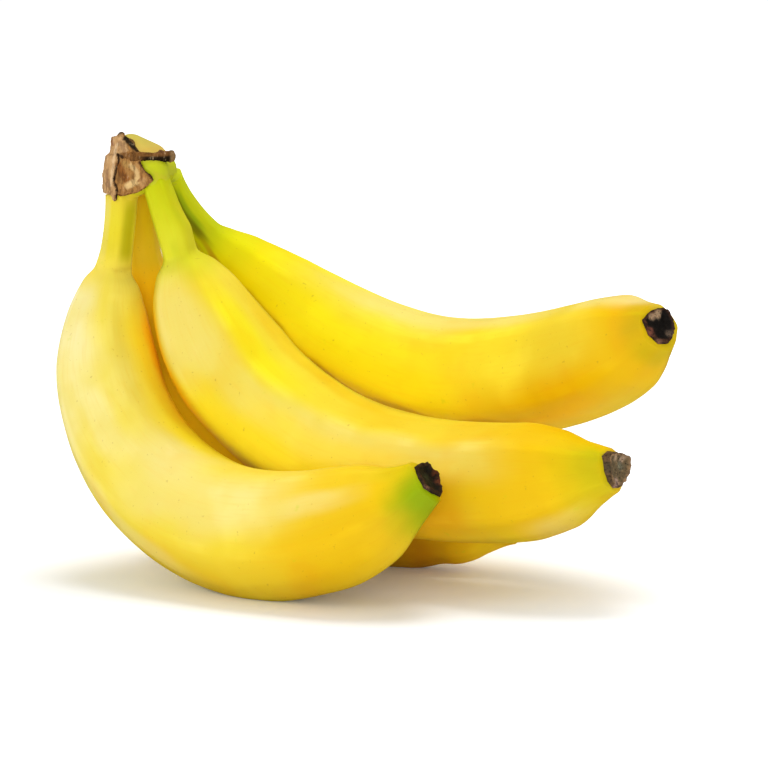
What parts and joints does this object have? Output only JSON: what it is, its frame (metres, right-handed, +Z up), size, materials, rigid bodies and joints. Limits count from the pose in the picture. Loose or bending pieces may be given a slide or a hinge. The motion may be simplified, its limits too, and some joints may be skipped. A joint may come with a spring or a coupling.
{
  "type": "bunch of bananas",
  "caption": "Bunch of ripe yellow bananas joined at a short crown, lying on its bellies with the crown raised; ridged fingers with dry flower ends.",
  "frame": {"origin": "on the surface the bunch rests on, under the middle of its outer box", "axes": "+Z up from the surface; +X from the crown towards the fingers' tips, along the bunch's longest extent; the front finger lies on the -Y side"},
  "size_m": [0.1925, 0.1233, 0.1384],
  "materials": {
    "peel": "satin waxy banana peel, greenish at the stalk and the tip",
    "crown_peel": "satin yellow-green crown rind",
    "dry_stub": "dry, dark, shrivelled flower end",
    "dry_husk": "dry, fibrous, light brown, cracked",
    "dry_scar": "dry, dark brown cut tissue"
  },
  "bodies": {
    "root": {"banana_front": "peel", "banana_middle": "peel", "banana_upper": "peel", "banana_lower": "peel", "flower_stub_front": "dry_stub", "flower_stub_middle": "dry_stub", "flower_stub_upper": "dry_stub", "flower_stub_lower": "dry_stub", "crown": "crown_peel", "crown_husk": "dry_husk", "crown_scar": "dry_scar"}
  },
  "joints": []
}
